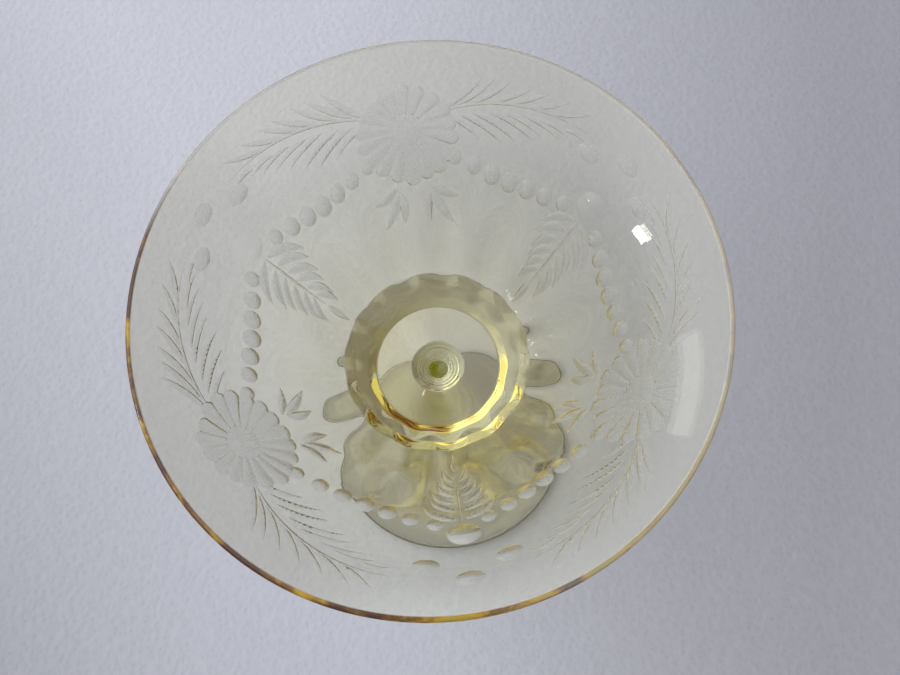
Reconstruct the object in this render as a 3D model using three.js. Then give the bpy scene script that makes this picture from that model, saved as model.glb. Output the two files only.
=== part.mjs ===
// Footed sherbet glass: a flared bowl with faint moulded ribs, a thick round pad under it, a slender stem
// and a round foot.
// Millimetres, +Z up. The origin is the centre of the foot's resting ring.

import * as THREE from 'three';
import { mergeVertices } from 'three/addons/utils/BufferGeometryUtils.js';

// Whole glass
const glassHeight = 112;
const rimRadius = 47.5;
const bowlDepth = 40.5;
const footSeatHeight = 7;

// Bowl: the inside line rises gently over the floor, up the side to the shoulder, then out along the lip
const shoulderRadius = 30;
const shoulderDrop = 18.4;
const sideAngle = THREE.MathUtils.degToRad(58.4);
const lipAngle = THREE.MathUtils.degToRad(35);
const floorAngle = THREE.MathUtils.degToRad(22);
const floorReach = 18.5;
const sideReachDown = 25.7;
const sideReachUp = 8;
const lipReach = 9;

// Bowl walls: thickest beside the pad, thinning to the side and again to the rim
const gatherWall = 2.5;
const gatherRadius = 25;
const sideWall = 1.5;
const rimWall = 1.3;

// Pad: thick glass under the bowl, flat below, with two steep slopes and a band between them up to the wall
const padRadius = 12.9;
const lowSlopeWidth = 1.6;
const lowSlopeRise = 1.8;
const bandWidth = 2.2;
const bandRise = 2.05;
const highSlopeWidth = 1.9;
const bottomWall = 2;

// Ribs moulded on the inside of the lower bowl, faded out below the lip
const ribCount = 14;
const ribHeight = 0.37;
const ribPhase = THREE.MathUtils.degToRad(258);
const ribFadeIn = [12, 20];
const ribFadeOut = [22, 32];

// Stem: the seat under the pad, the neck that flares up to it, the waist and the spread onto the foot.
// A curve of 1 makes a straight cone, and a higher one flares later and wider.
const seatRadius = 5.8;
const neckLength = 3.5;
const neckCurve = 1.5;
const waistRadius = 2.6;
const spreadRadius = 11;
const spreadLength = 16;
const spreadCurve = 3;

// Foot: a low cone with a rounded edge and a hollow underside
const footRadius = 31;
const footEdge = 2.3;
const footSweepRadius = 15.5;
const footSweepHeight = 4;
const restWidth = 4;
const footHollow = 1.8;

// Smoothness of the solids
const facetsPerRib = 6;
const stemFacets = 32;
const footFacets = 60;
const floorSteps = 14;
const lipSteps = 7;
const neckSteps = 6;
const spreadSteps = 12;
const footSteps = 6;

// Places worked out from the sizes above
const bowlFloorHeight = glassHeight - bowlDepth;
const shoulderHeight = glassHeight - shoulderDrop;
const padHeight = bowlFloorHeight - bottomWall;
const bandStart = padRadius + lowSlopeWidth;
const bandEnd = bandStart + bandWidth;
const wallStart = bandEnd + highSlopeWidth;

function glassMaterial() {
  return new THREE.MeshStandardMaterial({ color: 0xe4e6b0, roughness: 0.05, metalness: 0 });
}

function smoothStep(value, start, end) {
  const share = THREE.MathUtils.clamp((value - start) / (end - start), 0, 1);
  return share * share * (3 - 2 * share);
}

function along(angle, length) {
  return new THREE.Vector2(Math.cos(angle) * length, Math.sin(angle) * length);
}

// Points on a circle from one quarter turn to another
function quarterTurns(middle, radius, firstQuarter, lastQuarter, steps) {
  const points = [];
  for (let step = 0; step <= steps; step += 1) {
    const quarter = THREE.MathUtils.lerp(firstQuarter, lastQuarter, step / steps);
    points.push(middle.clone().add(along((quarter * Math.PI) / 2, radius)));
  }
  return points;
}

function wallAt(radius) {
  const gather = (gatherWall - sideWall) * (1 - smoothStep(radius, padRadius, gatherRadius));
  const thinning = (sideWall - rimWall) * smoothStep(radius, gatherRadius, rimRadius);
  return sideWall + gather - thinning;
}

// The inside line as points with the direction square to it, which leads out through the wall
function bowlInsideLine() {
  const rimMiddle = new THREE.Vector2(rimRadius - rimWall / 2, glassHeight - rimWall / 2);
  const lipEnd = rimMiddle.clone().add(along(lipAngle + Math.PI / 2, rimWall / 2));
  const shoulder = new THREE.Vector2(shoulderRadius, shoulderHeight);
  const floorMiddle = new THREE.Vector2(0, bowlFloorHeight);
  const floorCurve = new THREE.CubicBezierCurve(
    floorMiddle,
    floorMiddle.clone().add(along(floorAngle, floorReach)),
    shoulder.clone().sub(along(sideAngle, sideReachDown)),
    shoulder,
  );
  const lipCurve = new THREE.CubicBezierCurve(
    shoulder,
    shoulder.clone().add(along(sideAngle, sideReachUp)),
    lipEnd.clone().sub(along(lipAngle, lipReach)),
    lipEnd,
  );
  const line = [];
  for (const [curve, steps, first] of [[floorCurve, floorSteps, 0], [lipCurve, lipSteps, 1]]) {
    for (let step = first; step <= steps; step += 1) {
      const tangent = curve.getTangent(step / steps);
      line.push({ point: curve.getPoint(step / steps), outward: new THREE.Vector2(tangent.y, -tangent.x) });
    }
  }
  return line;
}

// The rounded rim at its highest, its outermost along the lip and its widest
function bowlRimArc() {
  const rimMiddle = new THREE.Vector2(rimRadius - rimWall / 2, glassHeight - rimWall / 2);
  return [Math.PI / 2, lipAngle, 0].map((angle) => rimMiddle.clone().add(along(angle, rimWall / 2)));
}

// The outside line from the rim down to the pad, down its slopes and under it to the middle
function bowlOutsideLine(insideLine) {
  const wall = insideLine
    .map(({ point, outward }) => point.clone().add(outward.clone().multiplyScalar(wallAt(point.x))))
    .filter((point) => point.x > wallStart);
  const [first, second] = wall;
  const padTop = first.clone().lerp(second, (wallStart - first.x) / (second.x - first.x));
  const slopes = [
    new THREE.Vector2(bandEnd, padHeight + lowSlopeRise + bandRise),
    new THREE.Vector2(bandStart, padHeight + lowSlopeRise),
    new THREE.Vector2(padRadius, padHeight),
  ];
  return [...wall.reverse(), padTop, ...slopes, new THREE.Vector2(0, padHeight)];
}

function ribAt(radius, angle) {
  const shape = smoothStep(radius, ...ribFadeIn) * (1 - smoothStep(radius, ...ribFadeOut));
  return ribHeight * shape * Math.cos(ribCount * (angle - ribPhase));
}

// Turns a profile about +Z, lowest point first, and joins the doubled points at the seam and the poles
function turned(profile, facets, pointAt = (place) => profile[place]) {
  const lathe = new THREE.LatheGeometry(profile, facets);
  const position = lathe.getAttribute('position');
  for (let index = 0; index < position.count; index += 1) {
    const angle = (Math.floor(index / profile.length) * 2 * Math.PI) / facets;
    const { x: radius, y: height } = pointAt(index % profile.length, angle);
    position.setXYZ(index, radius * Math.cos(angle), radius * Math.sin(angle), height);
  }
  lathe.deleteAttribute('normal');
  lathe.deleteAttribute('uv');
  return mergeVertices(lathe);
}

function bowl() {
  const insideLine = bowlInsideLine();
  const inside = insideLine.map(({ point }) => point);
  const profile = [...inside, ...bowlRimArc(), ...bowlOutsideLine(insideLine)].reverse();
  const ribbed = (place, angle) => {
    const ribbedPlace = insideLine[profile.length - 1 - place];
    if (!ribbedPlace) {
      return profile[place];
    }
    const { point, outward } = ribbedPlace;
    return point.clone().sub(outward.clone().multiplyScalar(ribAt(point.x, angle)));
  };
  return turned(profile, ribCount * facetsPerRib, ribbed);
}

// The stem's radius a share of the way from the waist to a wide end
function flareAt(share, wideRadius, curve) {
  return waistRadius + (wideRadius - waistRadius) * share ** curve;
}

function stem() {
  const profile = [new THREE.Vector2(0, footSeatHeight)];
  for (let step = 0; step <= spreadSteps; step += 1) {
    const share = 1 - step / spreadSteps;
    const height = footSeatHeight + spreadLength * (1 - share);
    profile.push(new THREE.Vector2(flareAt(share, spreadRadius, spreadCurve), height));
  }
  for (let step = 0; step <= neckSteps; step += 1) {
    const share = step / neckSteps;
    const height = padHeight - neckLength * (1 - share);
    profile.push(new THREE.Vector2(flareAt(share, seatRadius, neckCurve), height));
  }
  profile.push(new THREE.Vector2(0, padHeight));
  return turned(profile, stemFacets);
}

function foot() {
  const edgeMiddle = new THREE.Vector2(footRadius - footEdge / 2, footEdge / 2);
  const topCurve = new THREE.QuadraticBezierCurve(
    new THREE.Vector2(spreadRadius, footSeatHeight),
    new THREE.Vector2(footSweepRadius, footSweepHeight),
    new THREE.Vector2(edgeMiddle.x, footEdge),
  );
  const edge = quarterTurns(edgeMiddle, footEdge / 2, 1, -1, footSteps);
  const restInner = edgeMiddle.x - restWidth;
  const hollow = new THREE.QuadraticBezierCurve(
    new THREE.Vector2(restInner, 0),
    new THREE.Vector2(restInner / 2, footHollow),
    new THREE.Vector2(0, footHollow),
  );
  const profile = [
    new THREE.Vector2(0, footSeatHeight),
    ...topCurve.getPoints(footSteps),
    ...edge.slice(1),
    ...hollow.getPoints(footSteps),
  ];
  return turned(profile.reverse(), footFacets);
}

const glass = new THREE.Group();
for (const [name, geometry] of Object.entries({ bowl: bowl(), stem: stem(), foot: foot() })) {
  const mesh = new THREE.Mesh(geometry, glassMaterial());
  mesh.name = name;
  glass.add(mesh);
}

export default glass;
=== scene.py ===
import math

import bpy
import numpy as np
from mathutils import Matrix, Vector
from mathutils.geometry import delaunay_2d_cdt


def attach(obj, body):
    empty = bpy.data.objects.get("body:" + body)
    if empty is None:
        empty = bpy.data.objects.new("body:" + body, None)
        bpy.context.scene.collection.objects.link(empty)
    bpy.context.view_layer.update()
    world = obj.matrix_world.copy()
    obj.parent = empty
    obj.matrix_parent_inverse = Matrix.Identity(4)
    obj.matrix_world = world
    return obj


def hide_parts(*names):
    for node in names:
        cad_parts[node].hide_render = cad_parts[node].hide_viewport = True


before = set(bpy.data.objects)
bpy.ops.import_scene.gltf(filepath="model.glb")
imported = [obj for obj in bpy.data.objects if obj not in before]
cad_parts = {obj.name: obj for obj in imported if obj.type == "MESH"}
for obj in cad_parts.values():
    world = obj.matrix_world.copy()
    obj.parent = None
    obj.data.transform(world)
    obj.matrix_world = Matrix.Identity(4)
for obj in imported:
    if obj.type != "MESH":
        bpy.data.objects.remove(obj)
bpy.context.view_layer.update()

# A sherbet glass of pale yellow glass: a ribbed bowl with wheel-cut flowers, a thick round pad under it, a
# slender stem and a round foot.
# The form is worked out in millimetres and written to the meshes in metres. +Z is up.

MM = 0.001
rng = np.random.default_rng(7)

# Sizes of the glass, the same as in its solids
GLASS_HEIGHT = 112.0
RIM_RADIUS = 47.5
BOWL_DEPTH = 40.5
FOOT_SEAT_HEIGHT = 7.0
SHOULDER_RADIUS = 30.0
SHOULDER_DROP = 18.4
SIDE_ANGLE = math.radians(58.4)
LIP_ANGLE = math.radians(35)
FLOOR_ANGLE = math.radians(22)
FLOOR_REACH = 18.5
SIDE_REACH_DOWN = 25.7
SIDE_REACH_UP = 8.0
LIP_REACH = 9.0
BOTTOM_WALL = 2.0
GATHER_WALL = 2.5
SIDE_WALL = 1.5
RIM_WALL = 1.3
GATHER_RADIUS = 25.0
PAD_RADIUS = 12.9
LOW_SLOPE_WIDTH = 1.6
LOW_SLOPE_RISE = 1.8
BAND_WIDTH = 2.2
BAND_RISE = 2.05
HIGH_SLOPE_WIDTH = 1.9
RIB_COUNT = 14
RIB_HEIGHT = 0.37
RIB_PHASE = math.radians(258)
RIB_FADE_IN = (12.0, 20.0)
RIB_FADE_OUT = (22.0, 32.0)
SEAT_RADIUS = 5.8
NECK_LENGTH = 3.5
NECK_CURVE = 1.5
WAIST_RADIUS = 2.6
SPREAD_CURVE = 3.0
SPREAD_RADIUS = 11.0
SPREAD_LENGTH = 16.0
FOOT_RADIUS = 31.0
FOOT_EDGE = 2.3
FOOT_SWEEP_RADIUS = 15.5
FOOT_SWEEP_HEIGHT = 4.0
REST_WIDTH = 4.0
FOOT_HOLLOW = 1.8
BOWL_FLOOR = GLASS_HEIGHT - BOWL_DEPTH
PAD_HEIGHT = BOWL_FLOOR - BOTTOM_WALL

# What the solids leave out: the pad's corners are rounded, and tool marks run round the neck as ripples
PAD_SOFTNESS = 0.25
TURN_COUNT = 6
TURN_DEPTH = 0.06
JOINT_GAP = 0.02        # left between two pieces that are fused on the real glass

# Fineness of the meshes
BOWL_ROUND = 240        # points round the bowl
STEM_ROUND = 96
FOOT_ROUND = 180
OUTSIDE_STEPS = (900, 700)
INSIDE_STEPS = (70, 26)
RIM_POINTS = 15
STRAIGHT_STEP = 0.4
CORNER_STEPS = 5
SPREAD_POINTS = 50
WAIST_POINTS = 20
NECK_POINTS = 90
HOLLOW_STEPS = 24
REST_POINTS = 5
EDGE_POINTS = 17
FOOT_TOP_STEPS = 40
CUT_FROM = 18.8         # outside radius below which the bowl has no cutting
# The mark on a rounded edge places the painted amber glow on the bowl's lip and the painted dark line of shade
# on the foot's edge
MARK_RISE = 3           # how steeply the mark on a rounded edge rises to full

# Points that fill the wall between the cuts
FILL_SPACING = 1.25
FILL_ROW_SHARE = 0.87   # of the spacing, from one row to the next
FILL_FROM_LOW_RING = 1.0
FILL_FROM_RIM = 0.9
FILL_FROM_CUT = 0.45
FILL_BATCH = 500

# Where a triangle corner's normal is taken, between the corner and the middle, and over what distance
CORNER_SHARE = 0.8
MIDDLE_SHARE = 0.2
SLOPE_STEP = 0.02

# Smallest distances that count
TINY = 1e-6
SAME_PLACE = 1e-5
NO_LENGTH = 1e-12


def smooth_step(value, start, end):
    share = np.clip((value - start) / (end - start), 0, 1)
    return share * share * (3 - 2 * share)


def along(angle, length):
    return np.array([math.cos(angle) * length, math.sin(angle) * length])


def bezier(points, steps):
    """Points on a Bezier curve of any degree, and the unit direction at each."""
    t = np.linspace(0, 1, steps + 1)[:, None]
    pts = [np.asarray(p, float) for p in points]
    n = len(pts) - 1
    place = sum(math.comb(n, i) * (1 - t) ** (n - i) * t ** i * p for i, p in enumerate(pts))
    way = sum(math.comb(n - 1, i) * (1 - t) ** (n - 1 - i) * t ** i * (pts[i + 1] - pts[i]) for i in range(n))
    return place, way / np.hypot(way[:, 0], way[:, 1])[:, None]


def arc(middle, radius, angles):
    """Points on a circle in the (radius, height) plane."""
    return np.asarray(middle) + radius * np.stack([np.cos(angles), np.sin(angles)], 1)


def soft_line(corners, reach):
    """The line through these corners, each rounded over this distance, with points along its straights."""
    pts = [np.asarray(c, float) for c in corners]
    line = [pts[0][None]]
    for before, corner, after in zip(pts, pts[1:], pts[2:]):
        back, ahead = before - corner, after - corner
        near = min(reach, np.hypot(*back) / 2, np.hypot(*ahead) / 2)
        start, end = corner + back / np.hypot(*back) * near, corner + ahead / np.hypot(*ahead) * near
        steps = max(2, int(np.hypot(*(start - line[-1][-1])) / STRAIGHT_STEP))
        line.append(line[-1][-1] + (start - line[-1][-1]) * np.linspace(0, 1, steps + 1)[1:, None])
        line.append(bezier([start, corner, end], CORNER_STEPS)[0][1:])
    return np.concatenate(line + [pts[-1][None]])


def wall_at(radius):
    gather = (GATHER_WALL - SIDE_WALL) * (1 - smooth_step(radius, PAD_RADIUS, GATHER_RADIUS))
    return SIDE_WALL + gather - (SIDE_WALL - RIM_WALL) * smooth_step(radius, GATHER_RADIUS, RIM_RADIUS)


RIM_MIDDLE = np.array([RIM_RADIUS - RIM_WALL / 2, GLASS_HEIGHT - RIM_WALL / 2])


def inside_line(floor_steps, lip_steps):
    """The bowl's inside as (radius, height), with the direction out through the wall."""
    lip_end = RIM_MIDDLE + along(LIP_ANGLE + math.pi / 2, RIM_WALL / 2)
    shoulder = np.array([SHOULDER_RADIUS, GLASS_HEIGHT - SHOULDER_DROP])
    floor_corners = [(0, BOWL_FLOOR), np.array([0, BOWL_FLOOR]) + along(FLOOR_ANGLE, FLOOR_REACH),
                     shoulder - along(SIDE_ANGLE, SIDE_REACH_DOWN), shoulder]
    lip_corners = [shoulder, shoulder + along(SIDE_ANGLE, SIDE_REACH_UP),
                   lip_end - along(LIP_ANGLE, LIP_REACH), lip_end]
    floor, floor_way = bezier(floor_corners, floor_steps)
    lip, lip_way = bezier(lip_corners, lip_steps)
    place, way = np.concatenate([floor, lip[1:]]), np.concatenate([floor_way, lip_way[1:]])
    return place, np.stack([way[:, 1], -way[:, 0]], 1)


def outside_table():
    """The bowl's outside over the pad, finely: radius, height, distance down from the rim, and outward."""
    place, out = inside_line(*OUTSIDE_STEPS)
    line = place + out * wall_at(place[:, 0])[:, None]
    line = line[line[:, 0] > PAD_RADIUS]
    way = np.gradient(line, axis=0)
    way /= np.hypot(way[:, 0], way[:, 1])[:, None]
    run = np.concatenate([[0], np.cumsum(np.hypot(*np.diff(line, axis=0).T))])
    return line[:, 0], line[:, 1], run[-1] - run, way[:, 1], -way[:, 0]


OUT_R, OUT_Z, OUT_DOWN, OUT_NR, OUT_NZ = outside_table()


def radius_down(down):
    return np.interp(down, OUT_DOWN[::-1], OUT_R[::-1])


def rib_at(radius, angle):
    shape = smooth_step(radius, *RIB_FADE_IN) * (1 - smooth_step(radius, *RIB_FADE_OUT))
    return RIB_HEIGHT * shape * np.cos(RIB_COUNT * (angle - RIB_PHASE))


class Shell:
    """Collects the points, faces, corner normals and marks of one closed mesh, in millimetres."""

    def __init__(self):
        self.points, self.faces, self.normals = [], [], []
        self.marks = {"cut": [], "joint": []}
        self.rim, self.grain = [], []
        self.count = 0

    def add_points(self, places, rim=0.0):
        start = self.count
        self.points.append(np.asarray(places, float).reshape(-1, 3))
        self.rim.append(np.broadcast_to(rim, len(self.points[-1])))
        self.count += len(self.points[-1])
        return start

    def add_faces(self, faces, corner_normals, cut=0.0, joint=0.0, grain=None):
        corners = len(corner_normals)
        self.faces += np.asarray(faces).tolist()
        self.normals.append(corner_normals)
        self.marks["cut"].append(np.broadcast_to(cut, len(faces)))
        self.marks["joint"].append(np.broadcast_to(joint, len(faces)))
        self.grain.append(np.zeros((corners, 3)) if grain is None else grain)

    def turn(self, line, around, offset=None, joint=0.0, rim=0.0, first=None):
        """Turns a smooth (radius, height) line about +Z, running with the glass on its left. An end on the
        axis is a pole, and first names a ring that is already there. Gives the rings at its two ends."""
        line = np.asarray(line, float)
        rim = np.broadcast_to(rim, len(line))
        angle = np.arange(around) * 2 * math.pi / around
        flat = np.repeat(line[:, None, :], around, axis=1)
        if offset is not None:
            flat = flat + offset(angle)
        grid = np.stack([flat[..., 0] * np.cos(angle), flat[..., 0] * np.sin(angle), flat[..., 1]], -1)
        across = np.roll(grid, -1, axis=1) - np.roll(grid, 1, axis=1)
        normal = np.cross(across, np.gradient(grid, axis=0, edge_order=2))
        length = np.linalg.norm(normal, axis=-1)[..., None]
        poles = [row for row in (0, len(line) - 1) if line[row, 0] < TINY]
        normal = normal / np.where(length < NO_LENGTH, 1, length)
        for row in poles:
            beside = normal[1 if row == 0 else row - 1].mean(0)
            normal[row] = np.sign(beside[2]) * np.array([0, 0, 1])
        starts = []
        for row in range(len(line)):
            if row == 0 and first is not None:
                starts.append(first)
            else:
                starts.append(self.add_points(grid[row][:1] if row in poles else grid[row], rim[row]))
        here = np.arange(around)
        after = (here + 1) % around
        for row in range(len(line) - 1):
            low, high = starts[row], starts[row + 1]
            n_low, n_high = normal[row], normal[row + 1]
            if row in poles:
                faces = np.stack([np.full(around, low), high + after, high + here], 1)
                normals = np.stack([n_low, n_high[after], n_high[here]], 1)
            elif row + 1 in poles:
                faces = np.stack([low + here, low + after, np.full(around, high)], 1)
                normals = np.stack([n_low[here], n_low[after], n_high], 1)
            else:
                faces = np.stack([low + here, low + after, high + after, high + here], 1)
                normals = np.stack([n_low[here], n_low[after], n_high[after], n_high[here]], 1)
            self.add_faces(faces, normals.reshape(-1, 3), joint=joint)
        return starts[0], starts[-1]

    def build(self, name):
        mesh = bpy.data.meshes.new(name)
        mesh.from_pydata((np.concatenate(self.points) * MM).tolist(), [], self.faces)
        for mark, rows in self.marks.items():
            values = np.concatenate(rows).astype(np.float32)
            mesh.attributes.new(mark, "FLOAT", "FACE").data.foreach_set("value", values)
        # The rim mark places the painted amber glow on the bowl's lip and the painted dark line of shade on
        # the foot's edge
        rim = np.concatenate(self.rim).astype(np.float32)
        mesh.attributes.new("rim", "FLOAT", "POINT").data.foreach_set("value", rim)
        grain = np.concatenate(self.grain).astype(np.float32)
        mesh.attributes.new("grain", "FLOAT_VECTOR", "CORNER").data.foreach_set("vector", grain.ravel())
        mesh.polygons.foreach_set("use_smooth", np.ones(len(self.faces), bool))
        mesh.normals_split_custom_set(np.concatenate(self.normals).tolist())
        mesh.update()
        piece = bpy.data.objects.new(name, mesh)
        bpy.context.scene.collection.objects.link(piece)
        return piece


# Cutting. A stroke is one touch of the wheel, placed on a chart of the bowl's outside: across in millimetres
# at CHART_RADIUS to the right of an azimuth, seen from inside the bowl, and down in millimetres from the rim.
CHART_RADIUS = 36.0

# Shapes of a stroke
LEAF_POWERS = (0.8, 0.8)
PETAL_START_WIDTH = 0.42
PETAL_WIDENING = 0.66
PETAL_TIP_FROM = 0.8    # share of the petal's length where its round tip starts
PETAL_TIP = 0.2
BLUNT_WIDTH = 0.05      # a stroke wider than this at its start has no point there
WIDE_ENOUGH = 0.25      # half width from which the hollow gets more rows of points
OUTER_ROWS = 0.3        # share of the half width from the second rows of points to the third

# Azimuths of the three flowers and of the three sprays between them
FLOWERS = [math.radians(a) for a in (88.5, 205.0, 331.5)]
SPRAYS = [math.radians(a) for a in (147.0, 270.0, 28.7)]
SWAG_SPAN = math.radians(80)

# Flower: its eye and its petals
PETAL_COUNT = 18
PETAL_TURN = 0.08
PETAL_FROM = 3.1
PETAL_REACH = 9.3
PETAL_STRETCH = 1.5     # longer below the eye and shorter above it
PETAL_UNEVEN = 0.35
PETAL_FILL = 0.99
PETAL_DEPTH = 0.25
PETAL_SKEW = 0.35
EYE_DOWN = 14.5
EYE_RADIUS = 3.3
EYE_DEPTH = 0.2

# Sprigs under a flower: for each leaf the angle in degrees, length, half width and place beside the base
SPRIG_BASE = (3.4, 25.5)
SPRIG_LEAVES = ((70, 7.0, 1.15, (0.4, 0.0)), (42, 9.2, 1.25, (0.4, 1.2)), (2, 7.2, 1.2, (0.0, 1.2)))
SPRIG_TURN = 4
SPRIG_FORM = {"depth": 0.26, "bow": 0.7, "skew": -0.4, "rows": 2}

# Ferns along the rim: the midrib, then the leaves below it and above it. A pair holds the first leaf's value
# and how far the last one's lies from it, and places count points along the midrib.
MIDRIB_CORNERS = [(5.6, 11.6), (14, 8.4), (31, 6.9)]
MIDRIB_STEPS = 40
MIDRIB_HALF = 0.28
MIDRIB_FORM = {"depth": 0.14, "bow": -1.35, "steps": 22}
FERN_TURN = 2
LOW_LEAF_LENGTHS = (7.0, 9.0, 9.0, 8.8, 7.8, 6.4, 5.2, 4.2)
LOW_LEAF_PLACES = (2, 31)
LOW_LEAF_BESIDE = (0.9, 1.0)
LOW_LEAF_ANGLE = 31
LOW_LEAF_FALL = 1.1
LOW_LEAF_UNEVEN = (0.93, 1.05)
LOW_LEAF_HALF = (0.42, 0.1)
LOW_LEAF_FORM = {"depth": 0.17, "bow": -0.45, "skew": 0.5, "steps": 15}
HIGH_LEAF_COUNT = 7
HIGH_LEAF_PLACES = (1, 28)
HIGH_LEAF_BESIDE = (0.6, -0.7)
HIGH_LEAF_ANGLES = (-50, 22)
HIGH_LEAF_TOP = 3.6
HIGH_LEAF_SHARE = 0.92
HIGH_LEAF_HALF = (0.58, 0.12)
HIGH_LEAF_FORM = {"depth": 0.18, "bow": 0.4, "skew": 0.4, "steps": 15}

# Spray: a polished round at its top, three beads over it, the leaf at its end, the spine and the leaves beside
# it. Angles and lengths hold the first leaf's value and the step from leaf to leaf.
SPRAY_ROUND = (13.7, 19.1)
SPRAY_ROUND_HALF = 2.8
SPRAY_ROUND_DEPTH = 0.4
SPRAY_BEADS = ((0, 6.4), (-5.9, 9.4), (5.9, 9.4))
SPRAY_BEAD_REACH = 2.0
SPRAY_BEAD_HALF = 1.4
SPRAY_BEAD_DEPTH = 0.3
SPRAY_TIP = (38.2, 44.6)
SPRAY_TIP_HALF = 1.15
SPRAY_TIP_FORM = {"depth": 0.26, "skew": 0.3, "rows": 2}
SPINE = (20, 38)
SPINE_HALF = 0.3
SPINE_DEPTH = 0.14
SPRAY_LEAF_COUNT = 6
SPRAY_LEAF_ANGLES = (53, 4.5)
SPRAY_LEAF_TURN = 3
SPRAY_LEAF_START = (0.5, 20.6)
SPRAY_LEAF_SPACING = 2.75
SPRAY_LEAF_LENGTHS = (8.9, 0.4)
SPRAY_LEAF_UNEVEN = (0.94, 1.04)
SPRAY_LEAF_HALF = 1.08
SPRAY_LEAF_FORM = {"depth": 0.22, "bow": -0.9, "skew": -0.45, "rows": 2}

# Swag: oval beads from a flower to a spray
SWAG_SIZES = (0.84, 1.0, 1.12, 1.15, 1.12, 1.02, 0.9)
SWAG_START = 8.9
SWAG_ENDS = 13.7        # what its two ends leave free of the span
SWAG_DOWN = 19.0
SWAG_SAG = 3.2
SWAG_SAG_PART = (0.06, 0.86)
SWAG_UNEVEN = 0.15
SWAG_BEAD_REACH = 1.95
SWAG_BEAD_HALF = 1.62
SWAG_BEAD_DEPTH = 0.32

# The grain of each stroke starts at another place of the noise
GRAIN_SHIFT = 3.7


def leaf_width(t):
    inner, outer = LEAF_POWERS
    return np.sin(math.pi * np.clip(t, 0, 1) ** inner) ** outer


def bead_width(t):
    return np.sqrt(np.clip(1 - (2 * t - 1) ** 2, 0, 1))


def petal_width(t):
    wedge = PETAL_START_WIDTH + PETAL_WIDENING * t
    widest = PETAL_START_WIDTH + PETAL_WIDENING * PETAL_TIP_FROM
    tip = np.sqrt(np.clip(1 - ((t - PETAL_TIP_FROM) / PETAL_TIP) ** 2, 0, 1))
    return np.where(t < PETAL_TIP_FROM, wedge, widest * tip)


class Stroke:
    def __init__(self, azimuth, start, end, half, depth, width=leaf_width, bow=0.0, skew=0.0, steps=9,
                 rows=1, frost=1.0):
        self.azimuth, self.start, self.half, self.depth = azimuth, np.array(start, float), half, depth
        reach = np.array(end, float) - self.start
        self.length = np.hypot(*reach)
        self.way = reach / self.length
        self.side = np.array([-self.way[1], self.way[0]])
        self.width, self.bow, self.skew = width, bow, skew
        self.steps, self.rows, self.frost = steps, rows, frost

    def chart(self, t, across):
        """Chart places at share t along the stroke and share across of its half width."""
        sideways = self.bow * 4 * t * (1 - t) + across * self.half * self.width(t)
        return self.start + np.outer(t * self.length, self.way) + np.outer(sideways, self.side)

    def plan(self, chart):
        angle = self.azimuth - chart[:, 0] / CHART_RADIUS
        return radius_down(chart[:, 1])[:, None] * np.stack([np.cos(angle), np.sin(angle)], 1)

    def shares(self):
        """Shares along the stroke, closest together at its ends."""
        return (1 - np.cos(math.pi * np.arange(self.steps + 1) / self.steps)) / 2

    def outline(self):
        t = self.shares()
        if self.width(t[:1])[0] > BLUNT_WIDTH:
            sides = [self.chart(t, 1.0), self.chart(t[:-1][::-1], -1.0)]
        else:
            sides = [self.chart(t[:1], 0.0), self.chart(t[1:], 1.0), self.chart(t[1:-1][::-1], -1.0)]
        return self.plan(np.concatenate(sides))

    def inside(self):
        """Places inside the outline where the hollow is shaped."""
        t = self.shares()[1:-1]
        right, left = (self.skew + 1) * 0.5, (self.skew - 1) * 0.5
        beside = [right, left] * (self.rows > 1) + [right + OUTER_ROWS, left - OUTER_ROWS] * (self.rows > 2)
        wide = t[self.width(t) * self.half > WIDE_ENOUGH]
        return self.plan(np.concatenate([self.chart(t, self.skew)] + [self.chart(wide, s) for s in beside]))

    def local(self, angle, down):
        turned = (self.azimuth - angle + math.pi) % (2 * math.pi) - math.pi
        from_start = np.stack([turned * CHART_RADIUS, down], -1) - self.start
        t = from_start @ self.way / self.length
        sideways = from_start @ self.side - self.bow * 4 * t * (1 - t)
        return t, sideways

    def deep(self, angle, down):
        """How deep the hollow is at each place, 0 outside it."""
        t, sideways = self.local(angle, down)
        width = self.width(np.clip(t, 0, 1))
        across = sideways / np.maximum(width * self.half, TINY)
        within = (t >= 0) & (t <= 1) & (np.abs(across) <= 1)
        skewed = across - self.skew * (1 - across ** 2)
        fall = width ** 2 if self.width is bead_width else np.minimum(width, 1)
        return np.where(within, self.depth * fall * (1 - skewed ** 2), 0)


def handed(azimuth, side, start, end, half, form):
    """A stroke on the right of its azimuth, or with side -1 its mirror image on the left."""
    turned = {key: side * form[key] for key in ("bow", "skew") if key in form}
    return Stroke(azimuth, start * (side, 1), end * (side, 1), half, **{**form, **turned})


def downward(angle):
    """The chart's direction at this angle from straight down."""
    return np.array([math.sin(angle), math.cos(angle)])


def uneven(amount):
    return rng.uniform(-amount, amount)


def petals(azimuth):
    eye = np.array([0, EYE_DOWN])
    for k in range(PETAL_COUNT):
        angle = 2 * math.pi * (k + uneven(PETAL_TURN)) / PETAL_COUNT
        way = downward(angle)
        reach = PETAL_REACH + PETAL_STRETCH * math.cos(angle) + uneven(PETAL_UNEVEN)
        half = reach * math.tan(math.pi / PETAL_COUNT) * PETAL_FILL
        yield Stroke(azimuth, eye + PETAL_FROM * way, eye + reach * way, half, PETAL_DEPTH, petal_width,
                     skew=PETAL_SKEW, steps=10, rows=2)


def sprig(azimuth, side):
    for turned, length, half, beside in SPRIG_LEAVES:
        angle = math.radians(turned + uneven(SPRIG_TURN))
        start = np.array(SPRIG_BASE) + beside
        yield handed(azimuth, side, start, start + length * downward(angle), half, SPRIG_FORM)


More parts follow.
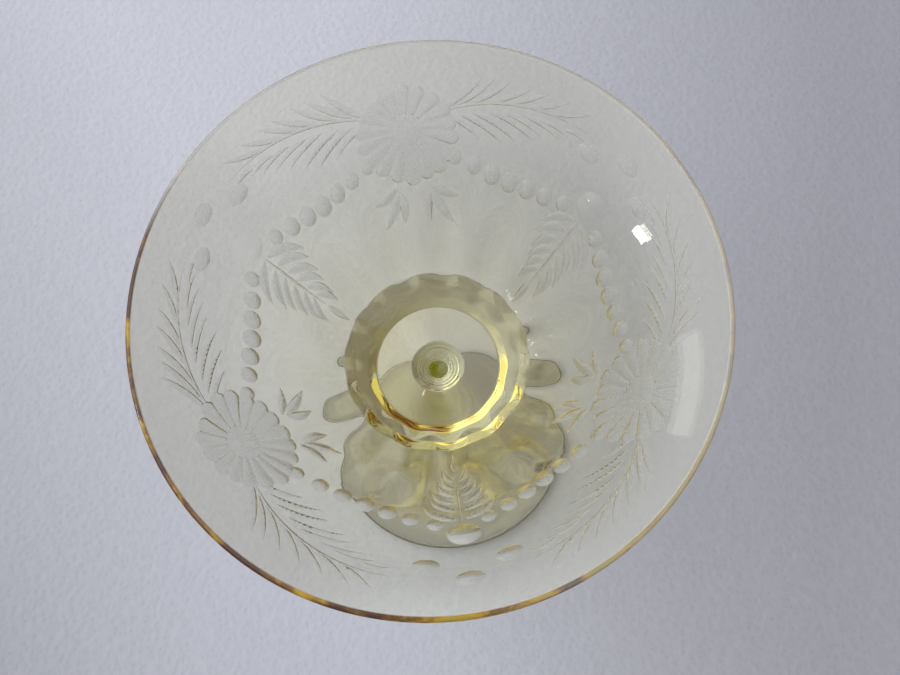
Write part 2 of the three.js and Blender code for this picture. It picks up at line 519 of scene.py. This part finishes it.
def fern(azimuth, side):
    midrib = bezier(MIDRIB_CORNERS, MIDRIB_STEPS)[0]
    yield handed(azimuth, side, midrib[0], midrib[-1], MIDRIB_HALF, MIDRIB_FORM)
    for k, length in enumerate(LOW_LEAF_LENGTHS):
        share = k / (len(LOW_LEAF_LENGTHS) - 1)
        start = midrib[int(LOW_LEAF_PLACES[0] + LOW_LEAF_PLACES[1] * share)] + LOW_LEAF_BESIDE
        angle = math.radians(LOW_LEAF_ANGLE * (1 - share) ** LOW_LEAF_FALL + uneven(FERN_TURN))
        end = start + along(angle, length * rng.uniform(*LOW_LEAF_UNEVEN))
        half = LOW_LEAF_HALF[0] - LOW_LEAF_HALF[1] * share
        yield handed(azimuth, side, start, end, half, LOW_LEAF_FORM)
    for k in range(HIGH_LEAF_COUNT):
        share = k / (HIGH_LEAF_COUNT - 1)
        start = midrib[int(HIGH_LEAF_PLACES[0] + HIGH_LEAF_PLACES[1] * share)] + HIGH_LEAF_BESIDE
        angle = math.radians(HIGH_LEAF_ANGLES[0] + HIGH_LEAF_ANGLES[1] * share + uneven(FERN_TURN))
        end = start + along(angle, (start[1] - HIGH_LEAF_TOP) / math.sin(-angle) * HIGH_LEAF_SHARE)
        half = HIGH_LEAF_HALF[0] - HIGH_LEAF_HALF[1] * share
        yield handed(azimuth, side, start, end, half, HIGH_LEAF_FORM)


def flower(azimuth):
    """A daisy: a flat ground eye with rounded petals, and on each side a small sprig under it and a long fern
    along the rim."""
    yield from petals(azimuth)
    yield Stroke(azimuth, (0, EYE_DOWN - EYE_RADIUS), (0, EYE_DOWN + EYE_RADIUS), EYE_RADIUS, EYE_DEPTH,
                 bead_width, steps=14, rows=3)
    for side in (-1, 1):
        yield from sprig(azimuth, side)
        yield from fern(azimuth, side)


def spray(azimuth):
    """A leafy spray that hangs towards the stem from a polished round, with three beads over it."""
    high, low = SPRAY_ROUND
    yield Stroke(azimuth, (0, high), (0, low), SPRAY_ROUND_HALF, SPRAY_ROUND_DEPTH, bead_width, steps=16,
                 rows=3, frost=0.0)
    for across, down in SPRAY_BEADS:
        yield Stroke(azimuth, (across - SPRAY_BEAD_REACH, down), (across + SPRAY_BEAD_REACH, down),
                     SPRAY_BEAD_HALF, SPRAY_BEAD_DEPTH, bead_width, steps=12, rows=2)
    yield Stroke(azimuth, (0, SPRAY_TIP[0]), (0, SPRAY_TIP[1]), SPRAY_TIP_HALF, **SPRAY_TIP_FORM)
    yield Stroke(azimuth, (0, SPINE[0]), (0, SPINE[1]), SPINE_HALF, SPINE_DEPTH, steps=16)
    for side in (-1, 1):
        for k in range(SPRAY_LEAF_COUNT):
            angle = math.radians(SPRAY_LEAF_ANGLES[0] - SPRAY_LEAF_ANGLES[1] * k + uneven(SPRAY_LEAF_TURN))
            start = np.array(SPRAY_LEAF_START) + (0, SPRAY_LEAF_SPACING * k)
            length = (SPRAY_LEAF_LENGTHS[0] - SPRAY_LEAF_LENGTHS[1] * k) * rng.uniform(*SPRAY_LEAF_UNEVEN)
            end = start + length * downward(angle)
            yield handed(azimuth, side, start, end, SPRAY_LEAF_HALF, SPRAY_LEAF_FORM)


def between(azimuth, towards):
    return (azimuth - towards + math.pi) % (2 * math.pi) - math.pi


def swag(azimuth, towards):
    """Beads that hang in a shallow curve from a flower to the round at its neighbouring spray."""
    span = between(azimuth, towards) * CHART_RADIUS
    side = math.copysign(1, span)
    for k, size in enumerate(SWAG_SIZES):
        share = k / (len(SWAG_SIZES) - 1)
        across = side * (SWAG_START + share * (abs(span) - SWAG_ENDS))
        sag = SWAG_SAG * math.sin(math.pi * (SWAG_SAG_PART[0] + SWAG_SAG_PART[1] * share))
        down = SWAG_DOWN + sag + uneven(SWAG_UNEVEN)
        reach = SWAG_BEAD_REACH * size
        yield Stroke(azimuth, (across, down - reach), (across, down + reach), SWAG_BEAD_HALF * size,
                     SWAG_BEAD_DEPTH * size, bead_width, steps=11, rows=2)


def all_strokes():
    strokes = []
    for azimuth in FLOWERS:
        strokes += flower(azimuth)
        for towards in SPRAYS:
            if abs(between(azimuth, towards)) < SWAG_SPAN:
                strokes += swag(azimuth, towards)
    for azimuth in SPRAYS:
        strokes += spray(azimuth)
    return strokes


def wall_place(plan, deep):
    """Places on the outside wall over plan points, set into the glass by deep."""
    radius = np.hypot(plan[:, 0], plan[:, 1])
    height = np.interp(radius, OUT_R, OUT_Z)
    nr, nz = np.interp(radius, OUT_R, OUT_NR), np.interp(radius, OUT_R, OUT_NZ)
    out = np.stack([nr * plan[:, 0] / radius, nr * plan[:, 1] / radius, nz], 1)
    out /= np.linalg.norm(out, axis=1)[:, None]
    return np.column_stack([plan, height]) - out * deep[:, None], out


def deepest(strokes, plan):
    """How deep the wall is cut at plan points, and the number of the stroke that cuts deepest, or -1."""
    angle, radius = np.arctan2(plan[:, 1], plan[:, 0]), np.hypot(plan[:, 0], plan[:, 1])
    down = np.interp(radius, OUT_R, OUT_DOWN)
    deep, which = np.zeros(len(plan)), np.full(len(plan), -1)
    for number, stroke in enumerate(strokes):
        here = stroke.deep(angle, down)
        more = here > deep
        deep[more], which[more] = here[more], number
    return deep, which


def wall_filling(strokes, near, low_radius):
    """Plan points in staggered rows over the wall, away from the cuts and from the points near them."""
    down = float(np.interp(low_radius, OUT_R, OUT_DOWN)) - FILL_FROM_LOW_RING
    fill, row = [], 0
    while down > FILL_FROM_RIM:
        radius = float(radius_down(down))
        number = int(2 * math.pi * radius / FILL_SPACING)
        turned = (np.arange(number) + 0.5 * (row % 2)) * 2 * math.pi / number
        fill.append(radius * np.stack([np.cos(turned), np.sin(turned)], 1))
        down -= FILL_SPACING * FILL_ROW_SHARE
        row += 1
    fill = np.concatenate(fill)
    free = deepest(strokes, fill)[0] == 0
    for start in range(0, len(fill), FILL_BATCH):
        part = fill[start:start + FILL_BATCH]
        gap = np.hypot(part[:, None, 0] - near[None, :, 0], part[:, None, 1] - near[None, :, 1]).min(1)
        free[start:start + FILL_BATCH] &= gap > FILL_FROM_CUT
    return fill[free]


def cut_normals(strokes, corners, middles):
    """The direction out of the hollow's surface just inside each triangle corner."""
    at = corners * CORNER_SHARE + middles * MIDDLE_SHARE
    base, one, two = (wall_place(place, deepest(strokes, place)[0])[0]
                      for place in (at, at + (SLOPE_STEP, 0), at + (0, SLOPE_STEP)))
    slope = np.cross(two - base, one - base)
    return slope / np.linalg.norm(slope, axis=1)[:, None]


def grain_at(strokes, corners, which):
    """Places along and across the stroke that each corner lies in, for the wheel marks."""
    grain = np.zeros((len(corners), 3))
    angle = np.arctan2(corners[:, 1], corners[:, 0])
    down = np.interp(np.hypot(corners[:, 0], corners[:, 1]), OUT_R, OUT_DOWN)
    for number in np.unique(which[which >= 0]):
        mine = which == number
        t, sideways = strokes[number].local(angle[mine], down[mine])
        shift = np.full(mine.sum(), GRAIN_SHIFT * number)
        grain[mine] = np.stack([sideways, t * strokes[number].length, shift], 1)
    return grain


def engraved_wall(shell, strokes, low_ring, high_ring, low_radius, high_radius):
    """The cut part of the outside wall, between two rings that are already there."""
    angle = np.arange(BOWL_ROUND) * 2 * math.pi / BOWL_ROUND
    circle = np.stack([np.cos(angle), np.sin(angle)], 1)
    edges = [(ring + j, ring + (j + 1) % BOWL_ROUND) for ring in (0, BOWL_ROUND) for j in range(BOWL_ROUND)]
    cut_places, outlines, count = [], [], 2 * BOWL_ROUND
    for stroke in strokes:
        outline, inside = stroke.outline(), stroke.inside()
        outlines.append(list(range(count, count + len(outline))))
        cut_places += [outline, inside]
        count += len(outline) + len(inside)
    filling = wall_filling(strokes, np.concatenate(cut_places), low_radius)
    places = np.concatenate([circle * low_radius, circle * high_radius, *cut_places, filling])
    verts, _, tris, from_verts, _, _ = delaunay_2d_cdt([Vector(p) for p in places], edges, outlines, 0,
                                                       SAME_PLACE)
    plan = np.array([tuple(v) for v in verts])
    tris = np.array([t[::-1] for t in tris])
    middle = plan[tris].mean(1)
    from_axis = np.hypot(middle[:, 0], middle[:, 1])
    keep = (from_axis > low_radius * math.cos(math.pi / BOWL_ROUND) - TINY) & (from_axis < high_radius)
    tris, middle = tris[keep], middle[keep]

    number, outer = np.full(len(plan), -1), np.zeros(len(plan), bool)
    for new, olds in enumerate(from_verts):
        for old in olds:
            if old < 2 * BOWL_ROUND:
                number[new] = low_ring + old if old < BOWL_ROUND else high_ring + old - BOWL_ROUND
                outer[new] = True
    deep = np.where(outer, 0, deepest(strokes, plan)[0])
    places, out = wall_place(plan, deep)
    fresh = np.zeros(len(plan), bool)
    fresh[np.unique(tris)] = True
    fresh &= ~outer
    number[fresh] = shell.add_points(places[fresh]) + np.arange(fresh.sum())

    middle_deep, which = deepest(strokes, middle)
    cut = middle_deep > 0
    on_cut = np.repeat(cut, 3)
    corners, middles = plan[tris].reshape(-1, 2), np.repeat(middle, 3, axis=0)
    normals = out[tris].reshape(-1, 3).copy()
    normals[on_cut] = cut_normals(strokes, corners[on_cut], middles[on_cut])
    frost = np.array([s.frost for s in strokes])[which] * cut
    grain = grain_at(strokes, corners, np.repeat(which, 3))
    shell.add_faces(number[tris], normals, cut=frost, grain=grain)


def bowl_piece():
    shell = Shell()
    seat = [(0, PAD_HEIGHT), (SEAT_RADIUS / 2, PAD_HEIGHT), (SEAT_RADIUS, PAD_HEIGHT)]
    _, ring = shell.turn(seat, BOWL_ROUND, joint=1.0)
    band_start, band_height = PAD_RADIUS + LOW_SLOPE_WIDTH, PAD_HEIGHT + LOW_SLOPE_RISE
    band_end = band_start + BAND_WIDTH
    corners = [(SEAT_RADIUS, PAD_HEIGHT), (PAD_RADIUS, PAD_HEIGHT), (band_start, band_height),
               (band_end, band_height + BAND_RISE)]
    corners += [(r, np.interp(r, OUT_R, OUT_Z)) for r in (band_end + HIGH_SLOPE_WIDTH, CUT_FROM)]
    _, low_ring = shell.turn(soft_line(corners, PAD_SOFTNESS), BOWL_ROUND, first=ring)
    turns = np.linspace(LIP_ANGLE - math.pi / 2, LIP_ANGLE + math.pi / 2, RIM_POINTS)
    rim = arc(RIM_MIDDLE, RIM_WALL / 2, turns)
    # Mark for the painted amber glow: nothing where the rim meets the walls, and full over its round
    glow_mark = np.minimum(1, MARK_RISE * np.sin(np.linspace(0, math.pi, RIM_POINTS)))
    high_ring, inner_ring = shell.turn(rim, BOWL_ROUND, rim=glow_mark)
    engraved_wall(shell, all_strokes(), low_ring, high_ring, CUT_FROM, rim[0, 0])
    place, out = inside_line(*INSIDE_STEPS)
    inner, outward = place[::-1], out[::-1]

    def ribs(angle):
        return -outward[:, None, :] * rib_at(inner[:, 0][:, None], angle[None, :])[..., None]

    shell.turn(inner, BOWL_ROUND, offset=ribs, first=inner_ring)
    return shell.build("glass_bowl")


def stem_piece():
    shell = Shell()
    low, high = FOOT_SEAT_HEIGHT + JOINT_GAP, PAD_HEIGHT - JOINT_GAP
    share = np.linspace(0, 1, SPREAD_POINTS)
    spread = np.stack([WAIST_RADIUS + (SPREAD_RADIUS - WAIST_RADIUS) * (1 - share) ** SPREAD_CURVE,
                       low + SPREAD_LENGTH * share], 1)
    waist = np.stack([np.full(WAIST_POINTS, WAIST_RADIUS),
                      np.linspace(spread[-1, 1], high - NECK_LENGTH, WAIST_POINTS)], 1)
    share = np.linspace(0, 1, NECK_POINTS)
    turns = TURN_DEPTH * np.sin(2 * math.pi * TURN_COUNT * share) * np.sin(math.pi * share)
    neck = np.stack([WAIST_RADIUS + (SEAT_RADIUS - WAIST_RADIUS) * share ** NECK_CURVE + turns,
                     high - NECK_LENGTH * (1 - share)], 1)
    _, ring = shell.turn([(0, low), (SPREAD_RADIUS / 2, low), (SPREAD_RADIUS, low)], STEM_ROUND, joint=1.0)
    _, ring = shell.turn(np.concatenate([spread, waist[1:], neck[1:]]), STEM_ROUND, first=ring)
    shell.turn([(SEAT_RADIUS, high), (SEAT_RADIUS / 2, high), (0, high)], STEM_ROUND, joint=1.0, first=ring)
    return shell.build("glass_stem")


def foot_piece():
    shell = Shell()
    edge_middle = np.array([FOOT_RADIUS - FOOT_EDGE / 2, FOOT_EDGE / 2])
    rest_inner = edge_middle[0] - REST_WIDTH
    hollow = bezier([(0, FOOT_HOLLOW), (rest_inner / 2, FOOT_HOLLOW), (rest_inner, 0)], HOLLOW_STEPS)[0]
    _, ring = shell.turn(hollow, FOOT_ROUND)
    rest = np.stack([np.linspace(rest_inner, edge_middle[0], REST_POINTS), np.zeros(REST_POINTS)], 1)
    _, ring = shell.turn(rest, FOOT_ROUND, first=ring)
    turns = np.linspace(-math.pi / 2, math.pi / 2, EDGE_POINTS)
    # Mark for the painted dark line of shade: only on the outermost part of the foot's rounded edge
    edge_shade_mark = np.clip(MARK_RISE * np.cos(turns) - 1, 0, 1)
    _, ring = shell.turn(arc(edge_middle, FOOT_EDGE / 2, turns), FOOT_ROUND, first=ring, rim=edge_shade_mark)
    top = bezier([(edge_middle[0], FOOT_EDGE), (FOOT_SWEEP_RADIUS, FOOT_SWEEP_HEIGHT),
                  (SPREAD_RADIUS, FOOT_SEAT_HEIGHT)], FOOT_TOP_STEPS)[0]
    _, ring = shell.turn(top, FOOT_ROUND, first=ring)
    seat = [(SPREAD_RADIUS, FOOT_SEAT_HEIGHT), (SPREAD_RADIUS / 2, FOOT_SEAT_HEIGHT), (0, FOOT_SEAT_HEIGHT)]
    shell.turn(seat, FOOT_ROUND, joint=1.0, first=ring)
    return shell.build("glass_foot")


class Nodes:
    """Short calls for building one material."""

    def __init__(self, name):
        self.material = bpy.data.materials.new(name)
        self.material.use_nodes = True
        self.tree = self.material.node_tree
        self.shader = self.tree.nodes["Principled BSDF"]
        self.output = self.tree.nodes["Material Output"]

    def add(self, kind, links=(), **values):
        node = self.tree.nodes.new(kind)
        for key, value in values.items():
            setattr(node, key, value)
        for socket, source in dict(links).items():
            self.feed(node.inputs[socket], source)
        return node

    def feed(self, socket, source):
        if isinstance(source, bpy.types.NodeSocket):
            self.tree.links.new(source, socket)
        else:
            socket.default_value = source

    def mark(self, name, out="Fac"):
        return self.add("ShaderNodeAttribute", attribute_name=name).outputs[out]

    def maths(self, operation, *values):
        return self.add("ShaderNodeMath", enumerate(values), operation=operation).outputs[0]

    def noise(self, scale, detail, vector, rough=0.5):
        links = {"Scale": scale, "Detail": detail, "Roughness": rough, "Vector": vector}
        return self.add("ShaderNodeTexNoise", links).outputs["Fac"]

    def scaled(self, vector, scale):
        return self.add("ShaderNodeMapping", {"Vector": vector, "Scale": scale}).outputs[0]

    def bump(self, height, strength, distance, normal=None):
        links = {"Height": height, "Strength": strength, "Distance": distance}
        if normal is not None:
            links["Normal"] = normal
        return self.add("ShaderNodeBump", links).outputs[0]

    def spread(self, value, low, high, to_low=0.0, to_high=1.0):
        return self.add("ShaderNodeMapRange", {0: value, 1: low, 2: high, 3: to_low, 4: to_high}).outputs[0]

    def mix(self, share, one, two):
        node = self.add("ShaderNodeMix", {0: share, 6: one, 7: two}, data_type="RGBA")
        return node.outputs[2]

    def ramp(self, value, stops):
        node = self.add("ShaderNodeValToRGB", {0: value})
        while len(node.color_ramp.elements) < len(stops):
            node.color_ramp.elements.new(0.5)
        for element, (place, colour) in zip(node.color_ramp.elements, stops):
            element.position, element.color = place, colour + (1,)
        return node.outputs[0]


# Glass. How fast it takes away red, green and blue light, per metre
ABSORBED = (3.0, 8.0, 44.0)
STEM_ABSORBED = (8.0, 7.0, 42.0)
DENSITY = 100.0
REFRACTION = 1.52

# Smears on the surface and slow waves in it
SMEAR_SCALE = 90
SMEAR_SPREAD = (0.55, 0.8)
SMEAR_ROUGHNESS = 0.035
WAVE_SCALE = 28
WAVE_STRENGTH = 0.25
WAVE_DEPTH = 0.0004

# Frost in the cuts: wheel marks along each stroke and fine grit
MARK_SCALE = (9, 0.8, 1)
GRIT_SCALE = 6500
GRIT_SHARE = 0.25
FROST_SPREAD = (0.6, 1.4)
FROST_ROUGHNESS = (0.2, 0.42)
FROST_STRENGTH = 0.16
FROST_DEPTH = 0.00006
FROST_VEIL = 0.2
FROST_DARK = (0.93, 0.93, 0.9, 1)
FROST_LIGHT = (1, 1, 0.98, 1)

# The bowl's tint, yellower at its floor and greyer and darker up at its lip
TINT_HEIGHTS = (0.074, 0.1)
LOW_TINT = (1.0, 0.985, 0.81, 1)
HIGH_TINT = (0.935, 0.93, 0.85, 1)

# The rim's painted amber glow: streaks from brown to gold, painted lighter on the right and weak at the back,
# as the light falls
STREAK_SCALE = (150, 150, 900)
AMBER_GLOW_STOPS = [(0.42, (0.07, 0.02, 0.0)), (0.5, (0.2, 0.09, 0.002)), (0.6, (0.5, 0.3, 0.01)),
               (0.74, (0.36, 0.29, 0.03))]
GLOW_LIGHTER_RIGHT = (-0.03, 0.03, -0.03, 0.1)
GLOW_WEAK_BACK = (0.035, 0.018, 0.15, 1.0)
GLOW_WEAK_RIGHT = (0.0, 0.045, 1.0, 0.5)
AMBER_GLOW_VEIL = 0.97

# A painted dark line of shade on the foot's rounded edge
EDGE_SHADE_COLOUR = (0.1, 0.085, 0.03, 1)
EDGE_SHADE_VEIL = 0.7
CLEAR = (1, 1, 1, 1)


def cut_surface(n, place, polish, bump):
    """Frost in the cuts and a painted amber glow on the rim: the roughness, normal, colour and share of clear
    glass.
    """
    frost, rim = n.mark("cut"), n.mark("rim")
    x, y, z = n.add("ShaderNodeSeparateXYZ", {"Vector": place}).outputs
    marks = n.noise(1.0, 3, n.scaled(n.mark("grain", "Vector"), MARK_SCALE), 0.6)
    grit = n.noise(GRIT_SCALE, 2, place)
    rough = n.spread(n.maths("ADD", marks, grit), *FROST_SPREAD, *FROST_ROUGHNESS)
    rough = n.maths("ADD", n.maths("MULTIPLY", frost, rough), polish)
    scratches = n.maths("MULTIPLY", frost, n.maths("ADD", marks, n.maths("MULTIPLY", grit, GRIT_SHARE)))
    bump = n.bump(scratches, FROST_STRENGTH, FROST_DEPTH, bump)
    tint = n.mix(n.spread(z, *TINT_HEIGHTS), LOW_TINT, HIGH_TINT)
    colour = n.mix(frost, tint, n.mix(marks, FROST_DARK, FROST_LIGHT))
    # Painted amber glow on the rim: streaks from brown to gold, painted lighter on the right and weaker at the
    # back
    streaks = n.noise(1.0, 4, n.scaled(place, STREAK_SCALE), 0.6)
    amber = n.ramp(n.maths("ADD", streaks, n.spread(x, *GLOW_LIGHTER_RIGHT)), AMBER_GLOW_STOPS)
    warm = n.maths("MULTIPLY", rim, n.maths("MULTIPLY", n.spread(y, *GLOW_WEAK_BACK), n.spread(x, *GLOW_WEAK_RIGHT)))
    clear = n.maths("SUBTRACT", 1.0, n.maths("MULTIPLY", frost, FROST_VEIL))
    clear = n.maths("SUBTRACT", clear, n.maths("MULTIPLY", warm, AMBER_GLOW_VEIL))
    return rough, bump, n.mix(warm, colour, amber), clear


def plain_surface(n, polish, bump):
    """Clear glass with a painted dark line of shade where the rim is marked."""
    edge = n.mark("rim")
    clear = n.maths("SUBTRACT", 1.0, n.maths("MULTIPLY", edge, EDGE_SHADE_VEIL))
    return polish, bump, n.mix(edge, CLEAR, EDGE_SHADE_COLOUR), clear


def glass_material(name, absorbed=ABSORBED, cut=False):
    n = Nodes(name)
    place = n.add("ShaderNodeTexCoord").outputs["Object"]
    n.shader.inputs["IOR"].default_value = REFRACTION
    volume = n.add("ShaderNodeVolumeAbsorption")
    volume.inputs["Color"].default_value = tuple(1 - a / DENSITY for a in absorbed) + (1,)
    volume.inputs["Density"].default_value = DENSITY
    n.tree.links.new(volume.outputs[0], n.output.inputs["Volume"])
    polish = n.spread(n.noise(SMEAR_SCALE, 4, place), *SMEAR_SPREAD, 0.0, SMEAR_ROUGHNESS)
    bump = n.bump(n.noise(WAVE_SCALE, 1, place), WAVE_STRENGTH, WAVE_DEPTH)
    surface = cut_surface(n, place, polish, bump) if cut else plain_surface(n, polish, bump)
    for socket, source in zip(("Roughness", "Normal", "Base Color", "Transmission Weight"), surface):
        n.feed(n.shader.inputs[socket], source)
    n.feed(n.shader.inputs["Alpha"], n.maths("SUBTRACT", 1.0, n.mark("joint")))
    return n.material


# Table: a fine grain in pale grey, with painted shade that darkens it to the right and far to the left
TABLE_HALF = 1.6
TABLE_CELLS = 64
TABLE_DROP = 0.0002     # below the resting ring
TABLE_DARK = (0.575, 0.59, 0.635, 1)
TABLE_LIGHT = (0.65, 0.665, 0.715, 1)
TABLE_ROUGHNESS = 0.55
CELL_SCALE = 620
PIMPLE_SCALE = 1500
PIMPLE_SHARE = 0.4
CELL_TONE = 0.5
CLOUD_SCALE = 5
TONE_SPREAD = (0.4, 1.1)
GRAIN_STRENGTH = 0.35
GRAIN_DEPTH = 0.0004
RIGHT_SLANT = 0.3
RIGHT_PAINTED_SHADE = (-0.06, 0.11, 1.0, 0.61)
LEFT_SLANT = 0.4
LEFT_PAINTED_SHADE = (-0.15, -0.03, 0.64, 1.0)


def table_material():
    n = Nodes("grained_table")
    place = n.add("ShaderNodeTexCoord").outputs["Object"]
    cells = n.add("ShaderNodeTexVoronoi", {"Vector": place, "Scale": CELL_SCALE}, feature="SMOOTH_F1")
    cells = cells.outputs["Distance"]
    height = n.maths("ADD", cells, n.maths("MULTIPLY", n.noise(PIMPLE_SCALE, 3, place), PIMPLE_SHARE))
    tone = n.maths("ADD", n.maths("MULTIPLY", cells, CELL_TONE), n.noise(CLOUD_SCALE, 2, place))
    x, y, _ = n.add("ShaderNodeSeparateXYZ", {"Vector": place}).outputs
    # Painted shade: the table's colour falls off to the right and far to the left, as the light does
    right = n.spread(n.maths("SUBTRACT", x, n.maths("MULTIPLY", y, RIGHT_SLANT)), *RIGHT_PAINTED_SHADE)
    left = n.spread(n.maths("ADD", x, n.maths("MULTIPLY", y, LEFT_SLANT)), *LEFT_PAINTED_SHADE)
    pale = n.mix(n.spread(tone, *TONE_SPREAD), TABLE_DARK, TABLE_LIGHT)
    painted_shade_colour = n.add("ShaderNodeVectorMath", {0: pale, 3: n.maths("MULTIPLY", right, left)}, operation="SCALE")
    n.feed(n.shader.inputs["Base Color"], painted_shade_colour.outputs[0])
    n.shader.inputs["Roughness"].default_value = TABLE_ROUGHNESS
    n.feed(n.shader.inputs["Normal"], n.bump(height, GRAIN_STRENGTH, GRAIN_DEPTH))
    return n.material


def stage_floor():
    """A pale flat table, much larger than the glass."""
    line = np.linspace(-TABLE_HALF, TABLE_HALF, TABLE_CELLS + 1)
    x, y = np.meshgrid(line, line)
    points = np.stack([x, y, np.full(x.shape, -TABLE_DROP)], -1).reshape(-1, 3)
    row = TABLE_CELLS + 1
    corners = [j * row + i for j in range(TABLE_CELLS) for i in range(TABLE_CELLS)]
    faces = [(corner, corner + 1, corner + row + 1, corner + row) for corner in corners]
    mesh = bpy.data.meshes.new("table")
    mesh.from_pydata(points.tolist(), [], faces)
    piece = bpy.data.objects.new("table", mesh)
    bpy.context.scene.collection.objects.link(piece)
    mesh.materials.append(table_material())
    return piece


# Lamps, each with its place, size, power and aim: a small bright one, and a wide weak one. Both are mirrored
# in the right side of the bowl.
LAMPS = {"lamp": ((-1.42, 0.1, 0.464), (0.13, 0.1), 0.9, (0.037, 0.009, 0.104)),
         "blind": ((-1.02, 0.95, 0.544), (0.5, 0.25), 0.5, (0.038, -0.018, 0.109))}


def area_light(name, place, size, power, aim):
    lamp = bpy.data.lights.new(name, "AREA")
    lamp.shape, (lamp.size, lamp.size_y) = "RECTANGLE", size
    lamp.energy = power
    holder = bpy.data.objects.new(name, lamp)
    holder.location = place
    holder.rotation_mode = "QUATERNION"
    holder.rotation_quaternion = (Vector(aim) - Vector(place)).to_track_quat("-Z", "Y")
    bpy.context.scene.collection.objects.link(holder)


# Sky. How strong it is: where it starts and stops rising, as a cosine from a direction, and its low and high
SKY_RISE = (-0.05, 0.5, 0.15, 0.81)
SKY_KEY = (0.35, 1.0, 0.0, 1.3)
SKY_KEY_WAY = (-0.5, 0.55, 0.67)
SKY_COLOUR = (0.935, 0.965, 1.03, 1)

# Two dark patches that the pad's slopes mirror: the direction of each, and the cosines from it where the
# patch starts and is full
DARK_PATCHES = (((1, 0.35, 0.2), 0.45, 0.75), ((0.35, 0.4, 0.85), 0.85, 0.92))
DARK_COLOUR = (0.12, 0.035, 0.015, 1)


def studio_sky():
    """Soft light from above, dimmer towards the horizon and stronger round one direction, with two dark
    warm patches."""
    world = bpy.data.worlds.new("studio")
    bpy.context.scene.world = world
    world.use_nodes = True
    tree = world.node_tree
    way = tree.nodes.new("ShaderNodeTexCoord").outputs["Generated"]

    def level(direction, start, end, low, high):
        facing = tree.nodes.new("ShaderNodeVectorMath")
        facing.operation = "DOT_PRODUCT"
        facing.inputs[1].default_value = Vector(direction).normalized()
        tree.links.new(way, facing.inputs[0])
        spread = tree.nodes.new("ShaderNodeMapRange")
        spread.interpolation_type = "SMOOTHERSTEP"
        for socket, value in enumerate((start, end, low, high), 1):
            spread.inputs[socket].default_value = value
        tree.links.new(facing.outputs["Value"], spread.inputs[0])
        return spread.outputs[0]

    strength = tree.nodes.new("ShaderNodeMath")
    tree.links.new(level((0, 0, 1), *SKY_RISE), strength.inputs[0])
    tree.links.new(level(SKY_KEY_WAY, *SKY_KEY), strength.inputs[1])
    dark = tree.nodes.new("ShaderNodeMath")
    dark.operation = "MAXIMUM"
    for socket, (direction, start, end) in enumerate(DARK_PATCHES):
        tree.links.new(level(direction, start, end, 0, 1), dark.inputs[socket])
    colour = tree.nodes.new("ShaderNodeMix")
    colour.data_type = "RGBA"
    colour.inputs[6].default_value, colour.inputs[7].default_value = SKY_COLOUR, DARK_COLOUR
    tree.links.new(dark.outputs[0], colour.inputs[0])
    tree.links.new(colour.outputs[2], tree.nodes["Background"].inputs[0])
    tree.links.new(strength.outputs[0], tree.nodes["Background"].inputs[1])


# Camera, fitted to the photograph's rim: degrees, millimetres from the rim's middle, and pixels
CAMERA_HEIGHT = 71.3
CAMERA_ROLL = 8.8
CAMERA_PAN = 1.1
CAMERA_TILT = -2.6
CAMERA_DISTANCE = 132.5
FOCAL_PIXELS = 850
IMAGE_WIDTH = 900
SENSOR_WIDTH = 36
CLIP_START = 0.005


def turned_pair(one, two, angle):
    """Two square directions, turned in their own plane."""
    return math.cos(angle) * one - math.sin(angle) * two, math.sin(angle) * one + math.cos(angle) * two


def photo_camera():
    """The photograph's view: from the near side, high over the bowl."""
    height, roll, pan, tilt = (math.radians(v) for v in (CAMERA_HEIGHT, CAMERA_ROLL, CAMERA_PAN, CAMERA_TILT))
    ahead = np.array([0, math.cos(height), -math.sin(height)])
    right = np.array([1.0, 0, 0])
    up = np.cross(right, ahead)
    place = np.array([0, 0, GLASS_HEIGHT]) - ahead * CAMERA_DISTANCE
    right, ahead = turned_pair(right, ahead, pan)
    up, ahead = turned_pair(up, ahead, tilt)
    right, up = turned_pair(right, up, roll)
    lens = bpy.data.cameras.new("camera")
    lens.sensor_width, lens.lens = SENSOR_WIDTH, FOCAL_PIXELS / IMAGE_WIDTH * SENSOR_WIDTH
    lens.clip_start = CLIP_START
    holder = bpy.data.objects.new("camera", lens)
    rows = [(right[k], up[k], -ahead[k], place[k] * MM) for k in range(3)]
    holder.matrix_world = Matrix(rows + [(0, 0, 0, 1)])
    bpy.context.scene.collection.objects.link(holder)
    bpy.context.scene.camera = holder


bowl, stem, foot = bowl_piece(), stem_piece(), foot_piece()
bowl.data.materials.append(glass_material("cut_glass", cut=True))
stem.data.materials.append(glass_material("stem_glass", STEM_ABSORBED))
foot.data.materials.append(glass_material("foot_glass"))
for piece, node in ((bowl, "bowl"), (stem, "stem"), (foot, "foot")):
    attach(piece, "root")
    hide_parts(node)

stage_floor()
for name, values in LAMPS.items():
    area_light(name, *values)
studio_sky()
photo_camera()

scene = bpy.context.scene
scene.view_settings.view_transform = "Standard"
scene.cycles.max_bounces = 48
scene.cycles.transmission_bounces = 48
scene.cycles.glossy_bounces = 32
scene.cycles.diffuse_bounces = 10
scene.cycles.transparent_max_bounces = 32
